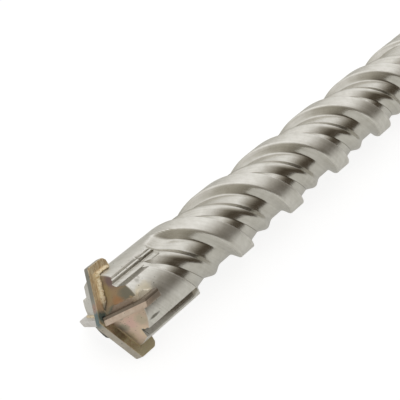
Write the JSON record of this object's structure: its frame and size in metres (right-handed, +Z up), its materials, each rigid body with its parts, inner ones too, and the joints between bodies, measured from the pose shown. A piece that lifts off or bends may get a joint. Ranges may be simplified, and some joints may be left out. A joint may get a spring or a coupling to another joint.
{
  "type": "hammer drill bit",
  "caption": "Slotted-shank masonry drill bit with a spiral body and a cross-shaped carbide head with brazed cutting plates.",
  "frame": {"origin": "on the bit's axis, where the neck cone ends and the shank's plain round starts", "axes": "+X along the bit's axis from the cutting head towards the shank's rear end, +Z up as the bit lies on a surface"},
  "size_m": [0.2, 0.0159, 0.0158],
  "materials": {
    "body_steel": "satin blasted steel",
    "carbide_main": "ground grey carbide",
    "carbide_side": "ground carbide with a faint warm stain",
    "braze": "solidified copper-coloured filler"
  },
  "bodies": {
    "root": {"steel_body": "body_steel", "main_carbide_plate": "carbide_main", "side_carbide_plate_a": "carbide_side", "side_carbide_plate_b": "carbide_side", "braze_main_plate": "braze", "braze_side_plate_a": "braze", "braze_side_plate_b": "braze"}
  },
  "joints": []
}
